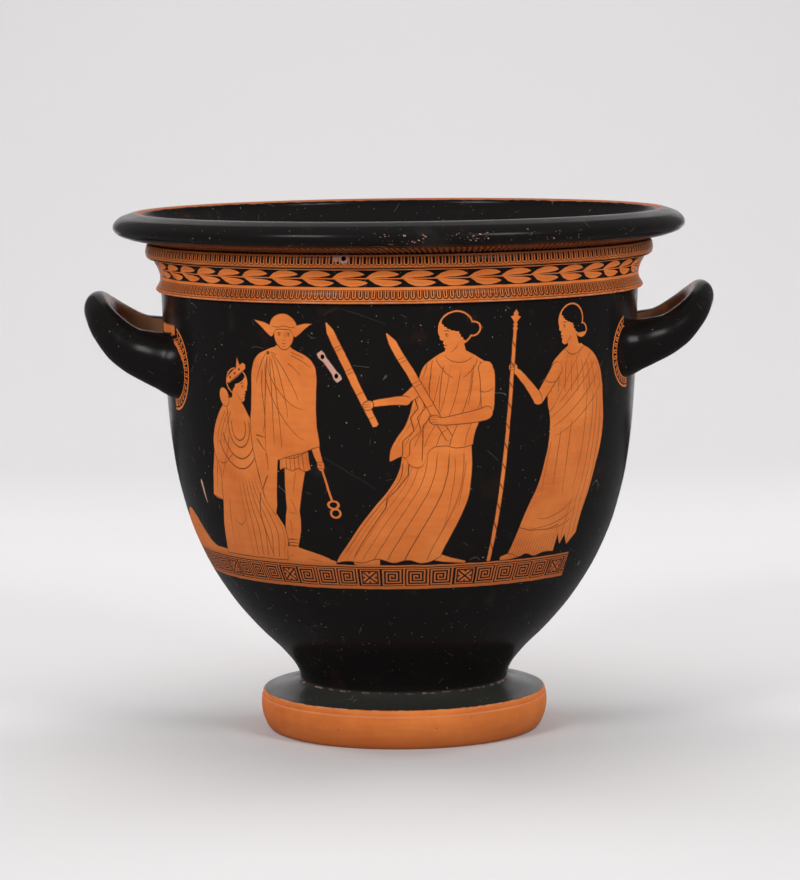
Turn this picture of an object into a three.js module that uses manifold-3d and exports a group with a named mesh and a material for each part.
// A painted clay bell krater: a deep open bowl on a stem and a disc foot, with two upturned loop
// handles. Bowl, foot and handles were fired as one, so they are one solid.
// Millimetres, +Z up. The origin is the middle of the underside, and X runs across the handles.
import * as THREE from 'three';
import { mergeVertices } from 'three/addons/utils/BufferGeometryUtils.js';
import Module from 'manifold-3d';

const wasm = await Module();
wasm.setup();

// ---- driving dimensions ------------------------------------------------------------------

const TURNS = 56;                 // facets round the vessel
const HEIGHT = 416;               // standing plane to crest of the lip

const FOOT_RADIUS = 114.8;        // widest place of the disc foot
const FOOT_HEIGHT = 31.5;         // standing plane to the foot's upper edge
const STANDING_RADIUS = 108;      // outer edge of the ring that the vessel stands on
const STANDING_WIDTH = 22;        // width of that ring
const FOOT_HOLLOW = 30;           // depth of the hollow under the foot

const STEM_RADIUS = 83.5;
const STEM_Z = 41;                // where the stem meets the foot

const SHOULDER_RADIUS = 190;      // bowl wall just under the lower moulding
const SHOULDER_Z = 353.8;

const NECK_RADIUS = 190.6;        // narrowest place of the neck
const NECK_Z = 365.4;
const LOWER_MOULDING = { radius: 193.9, bottom: 354, top: 357.2 };
const UPPER_MOULDING = { radius: 201.3, bottom: 380, top: 390.8 };
const THROAT_RADIUS = 196.6;      // undercut between the upper moulding and the lip
const THROAT_Z = 392;

const LIP_RADIUS = 227.5;           // outermost line of the lip
const LIP_Z = 404.6;
const CREST_RADIUS = 208.6;       // the lip's highest circle

const WALL = 8;                   // thickness of the bowl wall
const FLOOR_Z = 54;               // lowest point inside the bowl
const MOUTH_CLEARANCE = 12;       // how far the cutting form stands above the crest

const HANDLE = {
  sides: 14,
  steps: 22,
  barX: 240.8,                    // centre of the cross bar
  barRadius: 10.3,
  legRadius: 13.6,                // half-way up a leg
  rootRadius: 23.5,               // where a leg spreads on to the wall
  rootX: 174,                     // where a leg's centre line passes the wall
  rootY: 62,
  buried: 24,                     // length of a leg's root inside the wall, cut off by the bowl
};
// The two handles were pulled by hand and differ a little.
const HANDLES = [
  { side: -1, barZ: 341, rootZ: 301, lean: -1.5, swell: 1.15 },
  { side: 1, barZ: 346.4, rootZ: 306.5, lean: 2, swell: 0.97 },
];

// ---- helpers ------------------------------------------------------------------------------

const v2 = (r, z) => new THREE.Vector2(r, z);
const v3 = (x, y, z) => new THREE.Vector3(x, y, z);

// Points along a smooth curve through a few [radius, height] pairs.
function smooth(pairs, count) {
  return new THREE.SplineCurve(pairs.map(([r, z]) => v2(r, z))).getPoints(count);
}

// A solid of revolution about Z from a profile that starts and ends on the axis.
function turned(profile, segments = TURNS) {
  const geometry = new THREE.LatheGeometry(profile, segments);
  geometry.rotateX(Math.PI / 2);  // the lathe's axis is Y
  return geometry;
}

// A closed geometry as a manifold solid, turned right side out if need be.
function solid(geometry) {
  const shell = geometry.clone();
  shell.deleteAttribute('normal');
  shell.deleteAttribute('uv');
  const merged = mergeVertices(shell, 1e-4);
  const corner = merged.attributes.position;
  const index = merged.index.array;
  const triangles = [];
  for (let i = 0; i < index.length; i += 3) {
    const [a, b, c] = index.slice(i, i + 3);
    if (a !== b && b !== c && c !== a) triangles.push(a, b, c);
  }
  let volume = 0;
  const [p, q, s] = [v3(), v3(), v3()];
  for (let i = 0; i < triangles.length; i += 3) {
    p.fromBufferAttribute(corner, triangles[i]);
    q.fromBufferAttribute(corner, triangles[i + 1]);
    s.fromBufferAttribute(corner, triangles[i + 2]);
    volume += p.dot(q.cross(s));
  }
  if (volume < 0) triangles.reverse();
  return new wasm.Manifold(new wasm.Mesh({
    numProp: 3,
    vertProperties: new Float32Array(corner.array),
    triVerts: new Uint32Array(triangles),
  }));
}

function geometryOf(manifold) {
  const mesh = manifold.getMesh();
  const geometry = new THREE.BufferGeometry();
  geometry.setAttribute('position', new THREE.BufferAttribute(mesh.vertProperties, 3));
  geometry.setIndex(new THREE.BufferAttribute(mesh.triVerts, 1));
  geometry.computeVertexNormals();
  return geometry;
}

// ---- profiles -----------------------------------------------------------------------------

// Disc foot: hollow underneath, a flat standing ring, a rounded side and a shallow black top.
function footProfile() {
  const inner = STANDING_RADIUS - STANDING_WIDTH;
  return [
    v2(0, FOOT_HOLLOW),
    ...smooth([[0.45 * inner, FOOT_HOLLOW], [0.8 * inner, 0.7 * FOOT_HOLLOW], [inner, 0]], 3),
    ...smooth([
      [STANDING_RADIUS, 0],
      [FOOT_RADIUS - 3.4, 6],
      [FOOT_RADIUS, 19],
      [FOOT_RADIUS - 0.5, FOOT_HEIGHT - 1.4],
    ], 4),
    ...smooth([
      [FOOT_RADIUS - 1.8, FOOT_HEIGHT],
      [FOOT_RADIUS - 14, FOOT_HEIGHT + 2.3],
      [STEM_RADIUS + 1.6, STEM_Z - 2],
    ], 3),
  ];
}

// Stem and bowl: the wall swells quickly from the stem and rises almost straight.
function bowlProfile() {
  return smooth([
    [STEM_RADIUS, STEM_Z],
    [STEM_RADIUS + 1.4, STEM_Z + 6],
    [STEM_RADIUS + 10, STEM_Z + 19],
    [118.5, 85.5],
    [140.3, 112.5],
    [162.2, 151.5],
    [175.3, 190],
    [182.6, 228],
    [186.4, 266.5],
    [188.6, 314],
    [SHOULDER_RADIUS, SHOULDER_Z],
  ], 13);
}

// Neck: a small moulding, a hollow curve, a larger moulding and the undercut below the lip.
function neckProfile() {
  const low = LOWER_MOULDING;
  const high = UPPER_MOULDING;
  return [
    v2(low.radius - 0.5, low.bottom + 0.6),
    v2(low.radius, low.bottom + 2),
    ...smooth([
      [low.radius - 0.6, low.top],
      [NECK_RADIUS, NECK_Z],
      [NECK_RADIUS + 2.6, NECK_Z + 8.6],
      [NECK_RADIUS + 5.8, high.bottom - 1.4],
    ], 4),
    v2(high.radius - 1.4, high.bottom),
    v2(high.radius, high.bottom + 1.6),
    v2(high.radius, high.top - 1.2),
    v2(high.radius - 0.9, high.top),
    v2(THROAT_RADIUS, THROAT_Z),
  ];
}

// Lip: a heavy roll that overhangs the neck and rises to the crest.
function lipProfile() {
  return smooth([
    [THROAT_RADIUS + 6.5, THROAT_Z + 1.4],
    [LIP_RADIUS - 9, LIP_Z - 7.6],
    [LIP_RADIUS - 2.2, LIP_Z - 4.1],
    [LIP_RADIUS, LIP_Z],
    [LIP_RADIUS - 3.6, LIP_Z + 6.2],
    [LIP_RADIUS - 10.5, LIP_Z + 9.6],
    [CREST_RADIUS, HEIGHT],
  ], 8);
}

function outside() {
  return turned([...footProfile(), ...bowlProfile(), ...neckProfile(), ...lipProfile(), v2(0, HEIGHT)]);
}

// The room inside: it follows the wall and opens past the neck to the crest.
function inside() {
  const profile = [
    v2(0, FLOOR_Z),
    ...smooth([
      [44, FLOOR_Z + 0.8],
      [80, 64.5],
      [110.4, 89.5],
      [132.9, 116.5],
      [154.4, 154],
      [167.4, 191.7],
      [174.7, 229],
      [SHOULDER_RADIUS - WALL - 3.6, 267],
      [SHOULDER_RADIUS - WALL - 1.4, 315],
      [SHOULDER_RADIUS - WALL, NECK_Z - 6],
      [SHOULDER_RADIUS - WALL + 4, NECK_Z + 16],
      [CREST_RADIUS - 13, HEIGHT - 17],
      [CREST_RADIUS - 4.4, HEIGHT - 5],
      [CREST_RADIUS - 1.8, HEIGHT - 1.1],
    ], 15),
    v2(CREST_RADIUS, HEIGHT + 0.4),
    v2(CREST_RADIUS, HEIGHT + MOUTH_CLEARANCE),
    v2(0, HEIGHT + MOUTH_CLEARANCE),
  ];
  return turned(profile);
}

// ---- handles ------------------------------------------------------------------------------

// Centre line of a handle: out and up from the near root, over the cross bar and back down.
function handleLine({ side, barZ, rootZ, lean }) {
  const { barX, rootX, rootY } = HANDLE;
  const rise = barZ - rootZ;
  const leg = [
    [rootX - HANDLE.buried, 0.94 * rootY, -0.12],
    [rootX, rootY, 0],
    [rootX + 0.34 * (barX - rootX), 0.97 * rootY, 0.15],
    [rootX + 0.58 * (barX - rootX), 0.87 * rootY, 0.3],
    [rootX + 0.82 * (barX - rootX), 0.68 * rootY, 0.62],
    [rootX + 0.955 * (barX - rootX), 0.4 * rootY, 0.88],
  ];
  const at = ([x, y, share], hand) =>
    v3(side * x, hand * y, rootZ + share * rise - hand * lean * (1 - share));
  return new THREE.CatmullRomCurve3([
    ...leg.map((place) => at(place, -1)),
    v3(side * barX, 0, barZ),
    ...leg.map((place) => at(place, 1)).reverse(),
  ], false, 'centripetal');
}

// Radius along a handle, from 0 at one root to 1 at the other.
function handleRadius(share, length, swell) {
  const toEnd = Math.min(share, 1 - share) * length;
  const out = Math.max(0, toEnd - HANDLE.buried) / (length / 2 - HANDLE.buried);  // 0 wall, 1 bar
  const rod = THREE.MathUtils.lerp(HANDLE.legRadius, HANDLE.barRadius, Math.min(1, out * 1.25));
  const flare = Math.exp(-((out / 0.2) ** 2));
  return swell * THREE.MathUtils.lerp(rod, HANDLE.rootRadius, flare);
}

// A round bar bent along the centre line.
function handle(choice) {
  const { sides, steps } = HANDLE;
  const line = handleLine(choice);
  const length = line.getLength();
  const bar = new THREE.CylinderGeometry(1, 1, 1, sides, steps);
  const corner = bar.attributes.position;
  for (let i = 0; i < corner.count; i += 1) {
    const share = corner.getY(i) + 0.5;
    const along = line.getTangentAt(share);
    const across = v3(0, 0, 1).cross(along).normalize();
    const up = along.clone().cross(across);
    const radius = handleRadius(share, length, choice.swell);
    const place = line.getPointAt(share)
      .addScaledVector(across, corner.getX(i) * radius)
      .addScaledVector(up, corner.getZ(i) * radius);
    corner.setXYZ(i, place.x, place.y, place.z);
  }
  return bar;
}

// ---- the vessel ---------------------------------------------------------------------------

let vessel = solid(outside());
for (const choice of HANDLES) {
  vessel = vessel.add(solid(handle(choice)));
}
vessel = vessel.subtract(solid(inside()));

const clay = new THREE.MeshStandardMaterial({ color: 0x1b1a19, roughness: 0.28, metalness: 0 });
const krater = new THREE.Mesh(geometryOf(vessel), clay);
krater.name = 'krater';

const group = new THREE.Group();
group.add(krater);
export default group;
